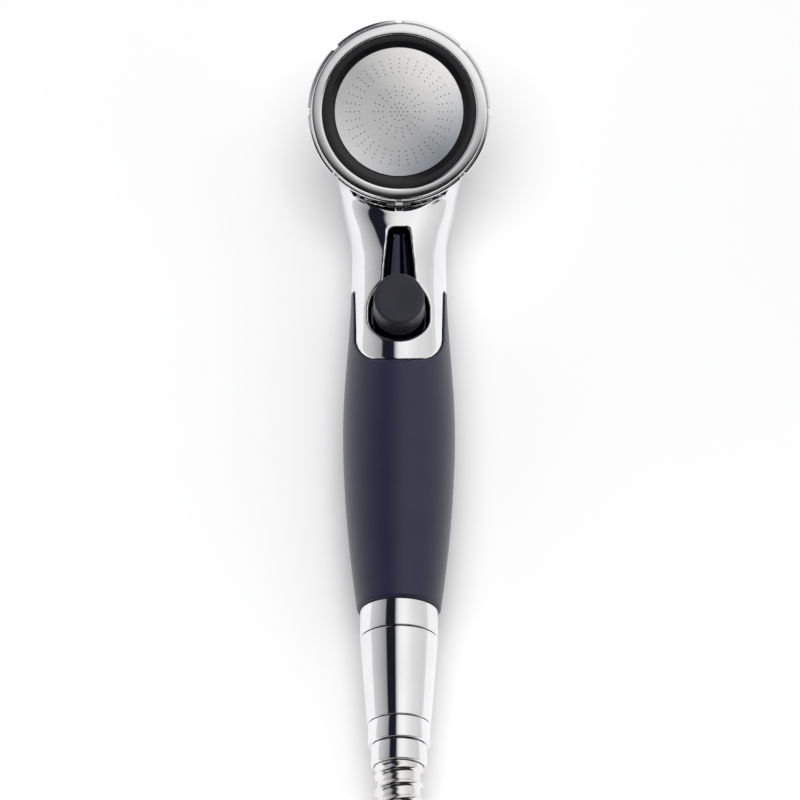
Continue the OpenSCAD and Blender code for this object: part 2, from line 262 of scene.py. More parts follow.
def surface_net(field, lowest, highest, step):
    """Points, quads and normals of the surface where field is 0, from a grid of that step."""
    axes = [np.arange(a, b + step, step) for a, b in zip(lowest, highest)]
    shape = tuple(len(a) for a in axes)
    values = np.empty(shape)
    yy, zz = np.meshgrid(axes[1], axes[2], indexing="ij")
    flat = np.stack([np.zeros(yy.size), yy.ravel(), zz.ravel()], -1)
    for i, x in enumerate(axes[0]):
        flat[:, 0] = x
        values[i] = field(flat).reshape(shape[1:])
    inside = values < 0
    cells = tuple(n - 1 for n in shape)
    total = np.zeros(cells + (3,))
    count = np.zeros(cells)
    crossings = []
    for axis in range(3):
        a = [slice(None)] * 3
        b = [slice(None)] * 3
        a[axis], b[axis] = slice(0, -1), slice(1, None)
        va, vb = values[tuple(a)], values[tuple(b)]
        cross = inside[tuple(a)] != inside[tuple(b)]
        t = np.where(cross, va / np.where(cross, va - vb, 1), 0)
        index = np.argwhere(cross)
        offset = np.zeros((len(index), 3))
        offset[:, axis] = t[cross]
        point = index + offset
        o1, o2 = [o for o in range(3) if o != axis]
        for d1 in (0, -1):
            for d2 in (0, -1):
                c = index.copy()
                c[:, o1] += d1
                c[:, o2] += d2
                ok = ((c >= 0) & (c < np.array(cells))).all(1)
                np.add.at(total, tuple(c[ok].T), point[ok])
                np.add.at(count, tuple(c[ok].T), 1)
        crossings.append((axis, o1, o2, index, inside[tuple(a)][cross]))
    used = count > 0
    number = np.full(cells, -1)
    number[used] = np.arange(used.sum())
    points = total[used] / count[used][:, None] * step + np.array(lowest)
    quads = []
    for axis, o1, o2, index, starts_inside in crossings:
        corners = []
        for d1, d2 in ((0, 0), (-1, 0), (-1, -1), (0, -1)):
            c = index.copy()
            c[:, o1] += d1
            c[:, o2] += d2
            corners.append(number[tuple(c.T)])
        q = np.stack(corners, -1)
        flip = starts_inside if axis != 1 else ~starts_inside
        q[~flip] = q[~flip][:, ::-1]
        quads.append(q)
    for _ in range(4):
        g = gradient(field, points)
        size = np.maximum((g * g).sum(1), 0.05)
        shift = np.clip((field(points) / size)[:, None] * g, -0.4 * step, 0.4 * step)
        points = points - shift
    normals = gradient(field, points)
    normals /= np.maximum(np.linalg.norm(normals, axis=1, keepdims=True), 1e-9)
    return points, np.concatenate(quads), normals


def ellipse_distance(x, y, rx, ry):
    """A close estimate of the distance to an ellipse."""
    k0 = np.hypot(x / rx, y / ry)
    k1 = np.hypot(x / rx**2, y / ry**2)
    return k0 * (k0 - 1) / np.maximum(k1, 1e-6)


# ---------------------------------------------------------------- materials
def new_material(name):
    material = bpy.data.materials.new(name)
    material.use_nodes = True
    tree = material.node_tree
    tree.nodes.clear()
    shader = tree.nodes.new("ShaderNodeBsdfPrincipled")
    out = tree.nodes.new("ShaderNodeOutputMaterial")
    tree.links.new(shader.outputs[0], out.inputs[0])
    return material, tree, shader


def noise(tree, scale, detail):
    where = tree.nodes.new("ShaderNodeTexCoord")
    texture = tree.nodes.new("ShaderNodeTexNoise")
    texture.inputs["Scale"].default_value = scale
    texture.inputs["Detail"].default_value = detail
    tree.links.new(where.outputs["Object"], texture.inputs["Vector"])
    return texture.outputs["Fac"]


def ramp(tree, source, stops):
    node = tree.nodes.new("ShaderNodeValToRGB")
    node.color_ramp.elements[0].position = stops[0][0]
    node.color_ramp.elements[0].color = (*stops[0][1], 1)
    node.color_ramp.elements[1].position = stops[-1][0]
    node.color_ramp.elements[1].color = (*stops[-1][1], 1)
    for at, colour in stops[1:-1]:
        node.color_ramp.elements.new(at).color = (*colour, 1)
    tree.links.new(source, node.inputs[0])
    return node.outputs[0]


def span(tree, source, to_low, to_high, from_low=0.3, from_high=0.7):
    node = tree.nodes.new("ShaderNodeMapRange")
    node.inputs["From Min"].default_value = from_low
    node.inputs["From Max"].default_value = from_high
    node.inputs["To Min"].default_value = to_low
    node.inputs["To Max"].default_value = to_high
    tree.links.new(source, node.inputs["Value"])
    return node.outputs[0]


def bump(tree, shader, height, distance):
    node = tree.nodes.new("ShaderNodeBump")
    node.inputs["Distance"].default_value = distance
    node.inputs["Strength"].default_value = 1
    tree.links.new(height, node.inputs["Height"])
    tree.links.new(node.outputs[0], shader.inputs["Normal"])


def multiplied(tree, a, b):
    """The product of two colour outputs."""
    node = tree.nodes.new("ShaderNodeMix")
    node.data_type = "RGBA"
    node.blend_type = "MULTIPLY"
    node.inputs["Factor"].default_value = 1
    tree.links.new(a, node.inputs[6])
    tree.links.new(b, node.inputs[7])
    return node.outputs[2]


def across(tree, centre, direction, reach):
    """0 to 1 from one side of centre to the other along direction, in millimetres."""
    where = tree.nodes.new("ShaderNodeTexCoord")
    dot = tree.nodes.new("ShaderNodeVectorMath")
    dot.operation = "DOT_PRODUCT"
    dot.inputs[1].default_value = direction
    tree.links.new(where.outputs["Object"], dot.inputs[0])
    middle = float(np.dot(centre, direction)) * MM
    return span(tree, dot.outputs["Value"], 0, 1, middle - reach * MM, middle + reach * MM)


def metal(name, dark, light, rough_low, rough_high, grain=400, depth=0.000002, painted_light=None, bare=1.0):
    """Plated or bare metal: colour and gloss vary a little, and a fine waviness bends the reflections; an optional
    function paints light or shade into the base colour.
    """
    material, tree, shader = new_material(name)
    shader.inputs["Metallic"].default_value = bare
    broad = noise(tree, 60, 3)
    colour = ramp(tree, broad, [(0.3, dark), (0.7, light)])
    if painted_light:
        colour = painted_light(tree, colour)
    tree.links.new(colour, shader.inputs["Base Color"])
    fine = noise(tree, grain, 4)
    tree.links.new(span(tree, fine, rough_low, rough_high), shader.inputs["Roughness"])
    bump(tree, shader, fine, depth)
    return material


def plastic(name, dark, light, rough_low, rough_high, grain=3000, depth=0.00002, sheen=0.0):
    """Moulded plastic or rubber: fine surface texture and a slight cloudiness of colour."""
    material, tree, shader = new_material(name)
    broad = noise(tree, 90, 4)
    tree.links.new(ramp(tree, broad, [(0.3, dark), (0.7, light)]), shader.inputs["Base Color"])
    fine = noise(tree, grain, 3)
    tree.links.new(span(tree, fine, rough_low, rough_high), shader.inputs["Roughness"])
    bump(tree, shader, fine, depth)
    shader.inputs["Sheen Weight"].default_value = sheen
    return material


def painted_shade_in_recesses(tree, colour):
    """Painted shade: the plating in the narrow groove and the button's well is darkened in its base colour,
    standing in for the shade in these recesses.
    """
    depth = tree.nodes.new("ShaderNodeAttribute")
    depth.attribute_name = "painted_recess_shade"
    shade = ramp(tree, depth.outputs["Fac"], [(0.0, (1, 1, 1)), (1.0, (0.045, 0.045, 0.07))])
    return multiplied(tree, colour, shade)


def painted_plate_highlight(tree, colour):
    """Painted highlight and shade: the turned steel plate's base colour is lighter along one diagonal and darker
    along the other, painted in place of the turned metal's own reflections.
    """
    right = np.array([1.0, 0, 0])
    painted_bright_diagonal = ramp(tree, across(tree, FACE, (UP + right) / math.sqrt(2), PLATE_R), [
        (0.0, (0.78, 0.78, 0.78)), (0.25, (0.58, 0.58, 0.58)), (0.5, (0.54, 0.54, 0.54)),
        (0.8, (0.85, 0.84, 0.83)), (1.0, (1, 0.98, 0.96))
    ])
    painted_dark_diagonal = ramp(tree, across(tree, FACE, (UP - right) / math.sqrt(2), PLATE_R), [
        (0.0, (0.45, 0.5, 0.55)), (0.3, (0.88, 0.88, 0.9)), (0.5, (1, 1, 1)), (0.8, (0.96, 0.96, 0.96)),
        (1.0, (0.9, 0.9, 0.9))
    ])
    return multiplied(tree, colour, multiplied(tree, painted_bright_diagonal, painted_dark_diagonal))


def make_materials():
    """One finish for each material slot of the record."""
    chrome = (0.86, 0.86, 0.87), (0.92, 0.92, 0.93)
    ferrule = (0.84, 0.84, 0.85), (0.9, 0.9, 0.91)
    strip = (0.82, 0.8, 0.79), (0.9, 0.885, 0.88)
    steel = (0.93, 0.93, 0.93), (0.99, 0.99, 0.99)
    brass = (0.7, 0.5, 0.24), (0.8, 0.6, 0.32)
    black = (0.005, 0.005, 0.006), (0.009, 0.009, 0.01)
    rubber = (0.012, 0.012, 0.012), (0.022, 0.022, 0.022)
    grip = (0.0085, 0.009, 0.032), (0.0115, 0.012, 0.038)
    button = (0.009, 0.009, 0.017), (0.012, 0.012, 0.02)
    cream = (0.7, 0.69, 0.65), (0.78, 0.77, 0.73)
    strap = (0.02, 0.02, 0.022), (0.035, 0.035, 0.038)
    return {
        # The plated body's base colour carries painted shade in the groove and the button's well.
        "plated_body": metal("plated_body", *chrome, 0.035, 0.075, 120, painted_light=painted_shade_in_recesses),
        "plated_bezel": metal("plated_bezel", *chrome, 0.06, 0.11, 300),
        "frame_black": plastic("frame_black", *black, 0.26, 0.34, 900, 0.000003),
        # The steel plate's base colour carries a painted highlight along one diagonal and painted shade along the
        # other.
        "spray_steel": metal("spray_steel", *steel, 0.26, 0.34, 1500, 0.000006, painted_plate_highlight, 0.45),
        "seal_rubber": plastic("seal_rubber", *rubber, 0.6, 0.8),
        "soft_grip": plastic("soft_grip", *grip, 0.4, 0.48, 3500, 0.000008, 0.12),
        "button_black": plastic("button_black", *button, 0.4, 0.46, 3500, 0.000008, 0.08),
        "inner_plastic": plastic("inner_plastic", *cream, 0.4, 0.55),
        "brass": metal("brass", *brass, 0.18, 0.3, 900),
        "nut_chrome": metal("nut_chrome", *chrome, 0.04, 0.08, 150),
        "ferrule_chrome": metal("ferrule_chrome", *ferrule, 0.06, 0.1, 200),
        "hose_metal": metal("hose_metal", *strip, 0.14, 0.22, 700),
        "tie_strap": plastic("tie_strap", *strap, 0.75, 0.9, 2500, 0.0001, 0.4),
    }


# ---------------------------------------------------------------- hose
def smooth_path(points, step=1.0):
    """Points at equal steps along a smooth curve through points."""
    p = np.array(points, float)
    p = np.vstack([2 * p[0] - p[1], p, 2 * p[-1] - p[-2]])
    dense = []
    for i in range(1, len(p) - 2):
        t = np.linspace(0, 1, 40, endpoint=False)[:, None]
        dense.append(0.5 * (2 * p[i] + (p[i + 1] - p[i - 1]) * t
                            + (2 * p[i - 1] - 5 * p[i] + 4 * p[i + 1] - p[i + 2]) * t**2
                            + (3 * p[i] - p[i - 1] - 3 * p[i + 1] + p[i + 2]) * t**3))
    dense = np.vstack(dense + [p[-2:-1]])
    along = np.concatenate([[0], np.cumsum(np.linalg.norm(np.diff(dense, axis=0), axis=1))])
    even = np.linspace(0, along[-1], int(round(along[-1] / step)) + 1)
    return np.stack([np.interp(even, along, dense[:, i]) for i in range(3)], -1)


def hank_turn(z):
    """One turn of the hank: down the right run, round the back fold, up the left run, over at the front."""
    rise_from = HANK_FRONT - 80
    points = [[RUN_X, y, z] for y in np.arange(HANK_FRONT - 20, HANK_BACK, -20)]
    for t in np.arange(0, 181, 15):
        a = math.radians(t)
        points.append([HANK_X + FOLD_R * math.cos(a), HANK_BACK - FOLD_R * math.sin(a), z])
    for y in np.arange(HANK_BACK + 20, HANK_FRONT, 20):
        s = np.clip((y - rise_from) / (HANK_FRONT - rise_from), 0, 1)
        points.append([HANK_X - FOLD_R, y, z + HOSE_D * s * s * (3 - 2 * s)])
    for t in np.arange(180, -1, -15):
        a = math.radians(t)
        points.append([HANK_X + FOLD_R * math.cos(a), HANK_FRONT + FOLD_R * math.sin(a), z + HOSE_D])
    return points


def hose_points():
    start = [
        [0, AXIS_Y - FERRULE_END, AXIS_Z], [0, -130, AXIS_Z], [0.5, -138, 17.1], [1.5, -146, 15.9],
        [3, -154, 13.7], [5, -162, 11.4], [8, -170, 9.6], [12, -180, 8.6], [16, -191, HANK_Z],
        [19.5, -203, HANK_Z], [RUN_X, HANK_FRONT, HANK_Z]
    ]
    top = HANK_Z + 2 * HOSE_D
    end = [
        [RUN_X, -250, top], [RUN_X, -280, top], [RUN_X, -300, top + 1], [RUN_X, -315, top + 3],
        [RUN_X, -328, WALL_Z - 0.4], [RUN_X, WALL_Y, WALL_Z]
    ]
    return start + hank_turn(HANK_Z) + hank_turn(HANK_Z + HOSE_D) + end


def tube_frames(path):
    """Tangents and two side directions that turn as little as possible along the path."""
    t = np.gradient(path, axis=0)
    t /= np.linalg.norm(t, axis=1, keepdims=True)
    side = np.empty_like(t)
    s = np.array([1.0, 0, 0])
    for i in range(len(t)):
        s = s - (s @ t[i]) * t[i]
        s /= np.linalg.norm(s)
        side[i] = s
    return t, side, np.cross(t, side)


def strip_radius(phase):
    """Outer radius of the strip over one pitch, phase 0 to 1: a crest, a step and a shallow valley."""
    crest = 0.5 - 0.5 * np.cos(2 * np.pi * np.clip(phase / 0.42, 0, 1))
    lip = np.exp(-((phase - 0.74) / 0.1) ** 2)
    return HOSE_R - 1.1 + 1.1 * crest**0.5 + 0.2 * lip


def make_hose(finish):
    pitch = 4.8
    step = 0.48
    sides = 40
    path = smooth_path(hose_points(), step)
    t, side, over = tube_frames(path)
    along = np.arange(len(path)) * step
    angle = np.arange(sides) * 2 * math.pi / sides
    phase = (along[:, None] / pitch - angle[None, :] / (2 * math.pi)) % 1.0
    cuff = np.clip(1.8 - along, 0, 1)[:, None]
    r = (strip_radius(phase) * (1 - cuff) + HOSE_R * cuff)[..., None]
    ring = (path[:, None, :] + r * (np.cos(angle)[None, :, None] * side[:, None, :]
                                    + np.sin(angle)[None, :, None] * over[:, None, :]))
    points = ring.reshape(-1, 3)
    faces = grid_faces(len(path), sides).tolist()
    faces.append(list(range(sides))[::-1])
    faces.append([(len(path) - 1) * sides + k for k in range(sides)])
    stands_for = ["hose_lead", "hose_hank", "hose_end"]
    hose = mesh_piece("metal_hose", points, faces, "root", stands_for)
    fix_direction(hose.data)
    hose.data.materials.append(finish)
    return hose, path[:: max(1, int(8 / step))]


# ---------------------------------------------------------------- chrome body and grip
GRIP_TOP_R = 15.1
GRIP_LOW_R = 12.8
BELLY_A = 112
GRIP_END = COLLAR_TOP - 0.2
SLEEVE_WALL = 2.2
JOINT_A = 63.5
JOINT_SLOPE = math.radians(11)
TONGUE_END = 94.4
TONGUE_HALF = 13.7
TONGUE_CORNER = 6.5
TONGUE_BULGE = 27.0
RIM_W = -6.8
LEDGE_W = -11.3
NECK_END = 60.5
WELL_R = 9.2
WELL_STRETCH = 2.8
WELL_SHIFT = 0.9
WELL_FLOOR = 26.8
CUP_R = 10.7
CUP_FLOOR = 25.3
GROOVE_A = 46
GROOVE_Z = 29.8
GROOVE_RUN = 26
GROOVE_RISE = 4.4
GROOVE_R = 3.1
GROOVE_WIDENS = 2.7
GROOVE_END = 24


def grip_r(a):
    upper = GRIP_TOP_R + (AXIS_Z - GRIP_TOP_R) * (1 + np.cos(math.pi * np.clip((BELLY_A - a) / 52, 0, 1))) / 2
    down = np.clip((a - BELLY_A) / (GRIP_END - BELLY_A), 0, 1.2)
    return np.where(a < BELLY_A, upper, AXIS_Z - (AXIS_Z - GRIP_LOW_R) * down**1.8)


NECK_STATIONS = [0, 12, 22, 29, 35, 40, 44, 49, 55, 60.5]
NECK_HALF = curve_through(NECK_STATIONS, [15, 17.5, 18.9, 18.6, 17.5, 16.3, 15.5, 15.1, 15.0, 15.1])
NECK_LOW = curve_through(NECK_STATIONS, [17, 14.3, 9.5, 6.3, 4.2, 2.9, 2.3, 1.9, 2.0, 2.4])
NECK_HIGH = curve_through(NECK_STATIONS, [24, 26, 27, 27.6, 28.4, 29.2, 29.9, 30.8, 31.8, 32.6])
NECK_POWER = curve_through([20, 34, 44, 54, 60], [4.2, 4.0, 2.9, 2.2, 2.0])


def handle_distance(x, a, z):
    """Neck sections that turn into the round grip."""
    past = a > NECK_END
    half = np.where(past, grip_r(a), NECK_HALF(a))
    lowest = np.where(past, AXIS_Z - grip_r(a), NECK_LOW(a))
    highest = np.where(past, AXIS_Z + grip_r(a), NECK_HIGH(a))
    mix = np.clip((a - 52) / 14, 0, 1)
    mix = mix * mix * (3 - 2 * mix)
    half = (1 - mix) * np.where(past, NECK_HALF(NECK_END), half) + mix * grip_r(a)
    lowest = (1 - mix) * np.where(past, NECK_LOW(NECK_END), lowest) + mix * (AXIS_Z - grip_r(a))
    highest = (1 - mix) * np.where(past, NECK_HIGH(NECK_END), highest) + mix * (AXIS_Z + grip_r(a))
    dz = z - (lowest + highest) / 2
    power = NECK_POWER(a)
    k = (np.abs(x / half) ** power + np.abs(2 * dz / (highest - lowest)) ** power) ** (1 / power)
    r = np.hypot(x, dz)
    return r - r / np.maximum(k, 1e-6)


def chrome_zone(x, a, z):
    """Below 0 where the handle's skin belongs to the chrome body: above a slanted joint and on the tongue."""
    plane = (a - JOINT_A) * math.cos(JOINT_SLOPE) - (z - AXIS_Z) * math.sin(JOINT_SLOPE)
    side = np.abs(x) - TONGUE_HALF - 0.4 * np.clip((80 - a) / 15, 0, 1) + TONGUE_CORNER
    bulge_a = TONGUE_END - TONGUE_BULGE
    end = np.hypot(x, np.maximum(a - bulge_a, 0)) - TONGUE_BULGE + TONGUE_CORNER
    corner = np.hypot(np.maximum(side, 0), np.maximum(end, 0)) + np.minimum(np.maximum(side, end), 0)
    tongue = np.maximum(corner - TONGUE_CORNER, AXIS_Z + 4 - z)
    return smooth_min(plane, tongue, 0.8)


def face_coordinates(p):
    d = p - FACE
    v, w = d @ UP, d @ NORMAL
    return np.hypot(d[:, 0], v), w


def from_well_axis(x, y):
    """Distance to the short line round which the button's well is stretched."""
    return np.hypot(x, np.maximum(np.abs(y - BUTTON[1] + WELL_SHIFT) - WELL_STRETCH / 2, 0))


def opening_distances(p):
    """Distances to the button's well, and to the tapered groove that leads into it."""
    x, a, z = p[:, 0], AXIS_Y - p[:, 1], p[:, 2]
    well = smooth_max(from_well_axis(x, p[:, 1]) - WELL_R, WELL_FLOOR - z, 0.5)
    run, rise = a - GROOVE_A, z - GROOVE_Z
    share = run / GROOVE_RUN
    along = (GROOVE_RUN * run + GROOVE_RISE * rise) / math.hypot(GROOVE_RUN, GROOVE_RISE)
    groove = np.hypot(x, rise - GROOVE_RISE * share) - GROOVE_R - GROOVE_WIDENS * share
    groove = smooth_max(np.maximum(groove, along - GROOVE_END), -along, 2.0)
    return well, groove


def hollow_distances(p, rho, w):
    """Distances to the spaces inside the chrome body."""
    x, a, z = p[:, 0], AXIS_Y - p[:, 1], p[:, 2]
    from_axis = np.hypot(x, z - AXIS_Z)
    seat = np.maximum(rho - 26.85, LEDGE_W - w)
    chamber = np.maximum(ellipse_distance(rho, w - LEDGE_W, 22.9, 16), w - LEDGE_W)
    screw_boss = np.maximum(rho - 3.4, w + 7.6)
    chamber = np.maximum(chamber, -screw_boss)
    cup = np.maximum(from_well_axis(x, p[:, 1]) - CUP_R, CUP_FLOOR - z)
    cup = np.minimum(cup, np.maximum(np.maximum(np.abs(x) - 7, np.abs(a - 64) - 6), CUP_FLOOR - z))
    inside = np.maximum(np.maximum(from_axis - (grip_r(a) - SLEEVE_WALL), NECK_END - a), -cup)
    bore = np.maximum(from_axis - 8, np.maximum(50 - a, a - NECK_END - 1))
    slant = math.tan(math.radians(15.2))
    middle = 15 + (53 - a) * slant
    channel = np.hypot(x, (z - middle) * math.cos(math.radians(15.2))) - 4.2
    channel = np.maximum(channel, np.maximum(18 - a, a - 53))
    stem = np.maximum(np.hypot(x, p[:, 1] - BUTTON[1]) - 2.2, 8.5 - z)
    return seat, chamber, inside, bore, channel, stem


def body_field(p):
    x, a, z = p[:, 0], AXIS_Y - p[:, 1], p[:, 2]
    rho, w = face_coordinates(p)
    bowl = ellipse_distance(rho, w - RIM_W, 28.6, 23)
    bowl = smooth_max(bowl, w - RIM_W, 0.5)
    neck = np.maximum(handle_distance(x, a, z), 4 - a)
    f = smooth_min(bowl, neck, 7)
    clear_of_bezel = np.maximum(rho - 29.6, RIM_W - w)
    f = smooth_max(f, -clear_of_bezel, 0.6)
    f = smooth_max(f, chrome_zone(x, a, z), 1.0)
    well, groove = opening_distances(p)
    f = smooth_max(f, -well, 2.0)
    f = smooth_max(f, -groove, 0.9)
    for hollow in hollow_distances(p, rho, w):
        f = np.maximum(f, -hollow)
    return f


def sleeve_field(p):
    x, a, z = p[:, 0], AXIS_Y - p[:, 1], p[:, 2]
    from_axis = np.hypot(x, z - AXIS_Z)
    r = grip_r(a)
    f = np.maximum(handle_distance(x, a, z), r - SLEEVE_WALL - from_axis)
    f = np.maximum(f, 57 - a)
    f = smooth_max(f, a - GRIP_END, 1.0)
    return smooth_max(f, 0.14 - chrome_zone(x, a, z), 0.5)


def make_body(finish):
    step = 0.6
    lowest = (-30.5, AXIS_Y - 96, -1)
    highest = (30.5, AXIS_Y + 24, 54)
    points, quads, normals = surface_net(body_field, lowest, highest, step)
    piece = mesh_piece("chrome_shell", points, quads, "root", ["chrome_body"], normals)
    # Painted shade mask: 1 on the faces of the groove and the button's well, where the plating's base colour is
    # darkened as shade.
    painted_recess_shade = piece.data.attributes.new("painted_recess_shade", "FLOAT", "POINT")
    nearest = np.min(np.abs(opening_distances(points)), axis=0)
    painted_recess_shade.data.foreach_set("value", np.clip((0.5 - nearest) / 0.3, 0, 1))
    piece.data.materials.append(finish)


def make_sleeve(finish):
    step = 0.6
    lowest = (-18.5, AXIS_Y - GRIP_END - 1.5, -1)
    highest = (18.5, AXIS_Y - 56, 36.5)
    points, quads, normals = surface_net(sleeve_field, lowest, highest, step)
    piece = mesh_piece("soft_sleeve", points, quads, "root", ["grip_sleeve"], normals)
    piece.data.materials.append(finish)


# ---------------------------------------------------------------- head
def make_bezel(finish):
    outline = [
        [24.4, -2.65], [24.4, -0.25, 0.2], [24.8, 0, 0.4], [27.5, -0.05, 0.6], [27.95, -0.75, 0.15],
        [28.1, -0.75, 0.05], [28.2, -0.55, 0.1], [29, -0.9, 0.6], [29, -6.5, 0.4], [26.7, -6.5], [26.7, -11],
        [25.5, -11], [25.5, -2.65]
    ]

    def notched(r, z, t):
        """Eight small finger notches in the outer edge."""
        away = np.abs((t / (2 * math.pi) * 8 + 0.5) % 1 - 0.5) * 2 * math.pi / 8 * 29
        dip = np.clip(1.25 - away, 0, 0.5) / 0.5
        deep = np.clip((r - 28.1) / 0.9, 0, 1)
        return r - 0.85 * dip * deep, z

    piece = turned("bezel_ring", outline, on_face, "bezel", ["face_bezel"], 720, notched)
    piece.data.materials.append(finish)


def make_spray_frame(finish):
    outline = [
        [20.4, -2.2], [20.4, -1.6, 0.1], [20.7, -1.5, 0.2], [22.3, -0.85, 0.3], [24.2, -0.75, 0.2],
        [24.2, -2.75],
        [25.3, -2.75], [25.3, -9.8], [22.4, -9.8], [22.4, -4.2], [18.8, -4.2], [18.8, -2.2]
    ]
    piece = turned("black_frame", outline, on_face, "face_insert", ["spray_frame"], 256)
    piece.data.materials.append(finish)


def hole_places():
    """Centre cluster, inner band and outer band, each a set of spokes."""
    groups = [(1, [0.0]), (6, [1.3]), (12, [2.7]), (18, [5.2, 6.6, 8.0]), (36, [12.6, 14.0, 15.4, 16.8])]
    for count, radii in groups:
        for r in radii:
            for i in range(count):
                a = 2 * math.pi * i / count
                yield r * math.cos(a), r * math.sin(a)


def make_plate(finish):
    curve = bpy.data.curves.new("plate_outline", "CURVE")
    curve.dimensions = "2D"
    curve.fill_mode = "BOTH"
    curve.extrude = 0.5 * MM
    curve.bevel_depth = 0.05 * MM
    curve.bevel_resolution = 1

    def circle(x, y, r, count):
        spline = curve.splines.new("POLY")
        spline.points.add(count - 1)
        for i in range(count):
            a = 2 * math.pi * i / count
            spline.points[i].co = ((x + r * math.cos(a)) * MM, (y + r * math.sin(a)) * MM, 0, 1)
        spline.use_cyclic_u = True

    circle(0, 0, 20.25, 160)
    for x, y in hole_places():
        circle(x, y, 0.22, 12)
    source = bpy.data.objects.new("plate_outline", curve)
    bpy.context.scene.collection.objects.link(source)
    bpy.context.view_layer.update()
    mesh = bpy.data.meshes.new_from_object(source.evaluated_get(bpy.context.evaluated_depsgraph_get()))
    bpy.data.objects.remove(source)
    turn = Matrix((np.array([1.0, 0, 0]), UP, NORMAL)).transposed().to_4x4()
    mesh.transform(Matrix.Translation(Vector((FACE - 1.7 * NORMAL) * MM)) @ turn)
    mesh.materials.clear()
    mesh.materials.append(finish)
    plate = bpy.data.objects.new("perforated_plate", mesh)
    bpy.context.scene.collection.objects.link(plate)
    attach(plate, "face_insert")
    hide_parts("spray_plate")


def make_button(finish):
    skirt, top = SKIRT_LOW, BUTTON_TOP
    outline = [
        [0.01, top - 0.3], [5.5, top - 0.1, 3], [7.9, top, 0.7], [8, skirt + 1.6], [8.15, skirt + 1.2, 0.2],
        [8.15, skirt, 0.3], [6.7, skirt], [6.7, top - 1.6], [0.01, top - 1.6]
    ]

    def longer(r, z, t):
        return r * (1 + 0.098 * np.sin(t) ** 2 * (z > skirt - 1) * (r > 6.75)), z

    piece = turned("stop_button", outline, on_button, "button", ["button_cap"], 192, longer)
    piece.data.materials.append(finish)


def coil_spring(name, node, to_frame, along, turns, wire, fixed_at_low, finish):
    """A spring of round wire in its node's box. Its fixed end is worked out, but nothing uses it."""
    lowest, highest = low(node), high(node)
    middle = (lowest + highest) / 2
    radius = (highest[0] - lowest[0]) / 2 - wire
    length = highest[along] - lowest[along]
    t = np.linspace(0, 1, 24 * turns + 1)
    around = 2 * math.pi * turns * t
    height = (length / 2 - wire) * (2 * t - 1)
    line = to_frame(np.stack([radius * np.cos(around), radius * np.sin(around), height], -1), middle)
    _, side, over = tube_frames(line)
    angle = (np.arange(8) * math.pi / 4)[None, :, None]
    ring = line[:, None, :] + wire * (np.cos(angle) * side[:, None, :] + np.sin(angle) * over[:, None, :])
    faces = grid_faces(len(line), 8).tolist()
    faces.append(list(range(8))[::-1])
    faces.append([(len(line) - 1) * 8 + k for k in range(8)])
    slot = slot_of[node]
    piece = mesh_piece(name, ring.reshape(-1, 3), faces, "root", [node])
    fix_direction(piece.data)
    piece.data.materials.append(finish[slot])
    anchor = middle.copy()
    anchor[along] = lowest[along] if fixed_at_low else highest[along]
    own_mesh(piece)


def make_springs(finish):
    def upright(p, middle):
        return p + middle

    def lengthways(p, middle):
        return np.stack([p[:, 0], -p[:, 2], p[:, 1]], -1) + middle

    coil_spring("return_spring", "button_spring", upright, 2, 5, 0.35, True, finish)
    coil_spring("poppet_spring", "check_spring", lengthways, 1, 4, 0.25, False, finish)


# ---------------------------------------------------------------- metal fittings
def make_fittings(finish):
    def piece(name, outline, frame_of, body, slot, node, shape=None, segments=256):
        made = turned(name, outline, frame_of, body, [node], segments, shape)
        made.data.materials.append(finish[slot])

    piece("collar_ring", [
        [10, COLLAR_TOP], [12, COLLAR_TOP, 0.35], [12, COLLAR_END, 0.3], [10, COLLAR_END]
    ], on_handle, "root", "plated_body", "end_collar")
    small_end, tail_seat = 209, 213
    piece("cone_nut_shell", [
        [9.93, NUT_TOP], [12, NUT_TOP, 0.45], [9.7, small_end, 0.35], [8, small_end], [8, 212.8],
        [6.7, 212.8], [6.7, 195.6], [9.93, 195.6]
    ], on_handle, "nut", "nut_chrome", "cone_nut")
    piece("swivel_band", [
        [8.05, RING_TOP], [9.45, RING_TOP, 0.3], [9.45, RING_END, 0.35], [6.7, RING_END], [6.7, tail_seat],
        [8.05, tail_seat]
    ], on_handle, "nut", "nut_chrome", "swivel_ring")
    ferrule = [
        [6.45, FERRULE_TOP], [8.5, FERRULE_TOP, 0.4], [8.5, FERRULE_END, 0.5], [7.6, FERRULE_END],
        [7.6, FERRULE_TOP + 1.6], [6.45, FERRULE_TOP + 1.6]
    ]
    piece("crimped_ferrule", ferrule, on_handle, "root", "ferrule_chrome", "hose_ferrule")
    piece("wall_ferrule_shell", [
        [7.6, 0], [8.5, 0, 0.5], [8.5, 6.6, 0.4], [6.45, 6.6], [6.45, 5], [7.6, 5]
    ], on_wall_end, "root", "ferrule_chrome", "wall_ferrule")
    threads = []
    for i in range(5):
        z = 26.4 - 1.81 * i
        threads += [[9.32, z], [9.32, z - 0.3], [10.1, z - 0.9], [10.1, z - 1.2]]

    def knurled(r, z, t):
        """Grooves along the outside for the fingers."""
        wave = np.clip(np.cos(24 * t) * 2 - 1, 0, 1)
        share = np.clip((r - 11) / 0.8, 0, 1) * np.clip((z - 9) / 1.5, 0, 1) * np.clip((24.6 - z) / 1.2, 0, 1)
        return r - 0.45 * wave * share, z

    piece("wall_nut_shell", [
        [6.7, 6.9], [10.6, 6.9, 0.6], [12.3, 8.6, 0.5], [12.3, 10], [12.3, 10.8], [12.3, 14], [12.3, 18],
        [12.3, 22], [12.3, 23.6], [12.3, 24.8], [12.3, 27, 0.6], [9.9, 27, 0.2], *threads, [9.85, 17],
        [9.85, 12.2], [6.7, 12.2]
    ], on_wall_end, "wall_nut_body", "nut_chrome", "wall_nut", knurled, 384)


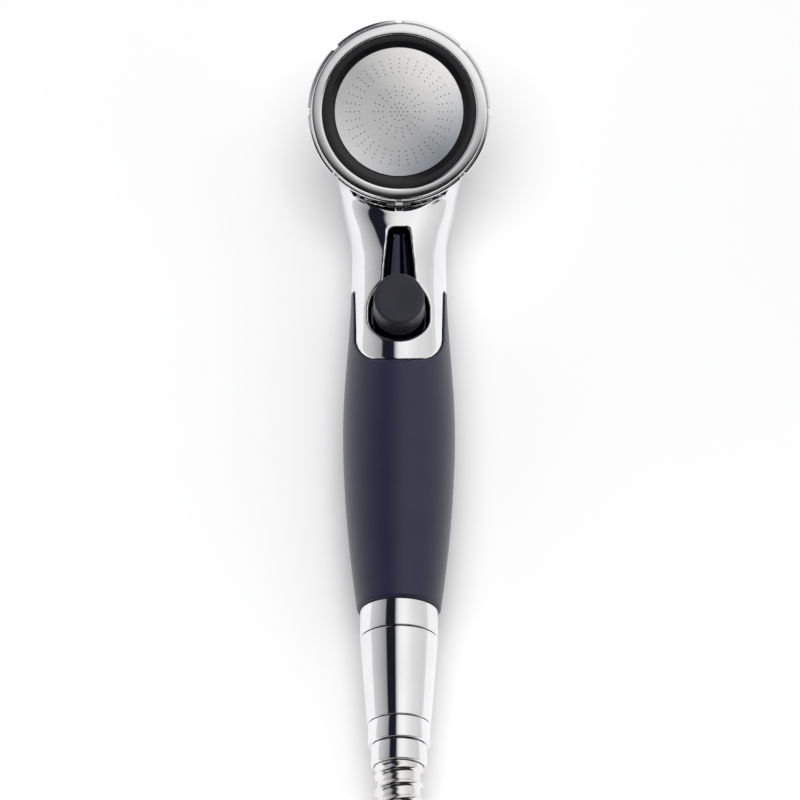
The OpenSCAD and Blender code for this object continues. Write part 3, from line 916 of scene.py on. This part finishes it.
def make_ties(finish):
    """Two woven straps, one round each run of the hank."""
    for name, x, top in (("tie_left", HANK_X - FOLD_R, 2 * HOSE_D + 2), ("tie_right", RUN_X, 3 * HOSE_D + 4)):
        half, corner, width, thick = HOSE_D / 2 + 1, 6.5, 12, 1.0
        centre_z, half_z = top / 2, top / 2
        loop = []
        for cx, cz, start in ((1, 1, 0), (-1, 1, 90), (-1, -1, 180), (1, -1, 270)):
            for t in range(0, 91, 10):
                a = math.radians(start + t)
                out_x, out_z = math.cos(a), math.sin(a)
                loop.append([cx * (half - corner) + corner * out_x, cz * (half_z - corner) + corner * out_z,
                             out_x, out_z])
        loop = np.array(loop)
        across = [(-width / 2, 0.15), (-width / 2 + 0.4, 0), (width / 2 - 0.4, 0), (width / 2, 0.15)]
        sections = [(y, inset) for y, inset in across] + [(y, thick - inset) for y, inset in across[::-1]]
        rows = []
        for y, inset in sections:
            rows.append(np.stack([x + loop[:, 0] - inset * loop[:, 2], np.full(len(loop), -306 + y),
                                  centre_z + loop[:, 1] - inset * loop[:, 3]], -1))
        faces = grid_faces(len(rows), len(loop), True)
        piece = mesh_piece(name, np.concatenate(rows), faces, "root", ["hank_ties"])
        fix_direction(piece.data)
        piece.data.set_sharp_from_angle(angle=math.radians(50))
        piece.data.materials.append(finish)


# ---------------------------------------------------------------- floor and light
def make_floor():
    mesh = bpy.data.meshes.new("floor")
    size = 4.0
    corners = [(-size, -size, 0), (size, -size, 0), (size, size, 0), (-size, size, 0)]
    mesh.from_pydata(corners, [], [(0, 1, 2, 3)])
    floor = bpy.data.objects.new("floor", mesh)
    bpy.context.scene.collection.objects.link(floor)
    material, tree, shader = new_material("floor")
    cloud = noise(tree, 3, 2)
    colour = ramp(tree, cloud, [(0.3, (0.86, 0.86, 0.865)), (0.7, (0.9, 0.9, 0.9))])
    tree.links.new(colour, shader.inputs["Base Color"])
    shader.inputs["Roughness"].default_value = 0.9
    shader.inputs["Specular IOR Level"].default_value = 0.1
    mesh.materials.append(material)


def make_light():
    """A white studio all round, with one narrow dark gap overhead between its two large panels."""
    world = bpy.data.worlds.new("studio")
    bpy.context.scene.world = world
    world.use_nodes = True
    tree = world.node_tree
    tree.nodes.clear()
    where = tree.nodes.new("ShaderNodeTexCoord")
    split = tree.nodes.new("ShaderNodeSeparateXYZ")
    tree.links.new(where.outputs["Generated"], split.inputs[0])
    angle = tree.nodes.new("ShaderNodeMath")
    angle.operation = "ARCTAN2"
    tree.links.new(split.outputs["X"], angle.inputs[0])
    tree.links.new(split.outputs["Z"], angle.inputs[1])
    share = span(tree, angle.outputs[0], 0, 1, -math.pi, math.pi)

    def at(degrees):
        return (degrees + 180) / 360

    def grey(value, blue=0.0):
        return (value, value, value + blue)

    stops = [
        (at(-180), grey(0.9)), (at(-120), grey(0.85)), (at(-90), grey(0.66)), (at(-65), grey(0.5)),
        (at(-41), grey(0.3, 0.02)), (at(-37), grey(0.012, 0.009)), (at(-12), grey(0.012, 0.009)),
        (at(-8), grey(0.5)), (at(0), grey(0.88)), (at(16), grey(0.95)), (at(45), grey(0.76)),
        (at(80), grey(0.66)), (at(110), grey(0.85)), (at(180), grey(0.9))
    ]
    colour = ramp(tree, share, stops)
    ends = ramp(tree, span(tree, split.outputs["Y"], 0, 1, -1, 1), [
        (0.0, grey(0.02)), (0.27, grey(0.02)), (0.34, grey(1.0)), (0.95, grey(1.0)), (1.0, grey(0.6))
    ])
    background = tree.nodes.new("ShaderNodeBackground")
    tree.links.new(multiplied(tree, colour, ends), background.inputs["Color"])
    background.inputs["Strength"].default_value = 1.05
    out = tree.nodes.new("ShaderNodeOutputWorld")
    tree.links.new(background.outputs[0], out.inputs[0])
    data = bpy.data.lights.new("softbox", "AREA")
    data.shape = "DISK"
    data.size = 2.2
    data.energy = 44
    lamp = bpy.data.objects.new("softbox", data)
    lamp.location = (-0.2, -0.3, 2.2)
    lamp.visible_glossy = False
    bpy.context.scene.collection.objects.link(lamp)


# ---------------------------------------------------------------- everything
make_camera()
finish = make_materials()
slot_of = {s["node"]: s["material_slot"] for s in frame["record"]["subparts"]}
hose, hose_line = make_hose(finish["hose_metal"])
make_ties(finish["tie_strap"])
make_body(finish["plated_body"])
make_sleeve(finish["soft_grip"])
make_bezel(finish["plated_bezel"])
make_spray_frame(finish["frame_black"])
make_plate(finish["spray_steel"])
make_button(finish["button_black"])
make_springs(finish)
make_fittings(finish)

for node, piece in frame["nodes"].items():
    piece.data.materials.clear()
    piece.data.materials.append(finish[slot_of[node]])

make_floor()
make_light()
bpy.context.scene.view_settings.view_transform = "Standard"
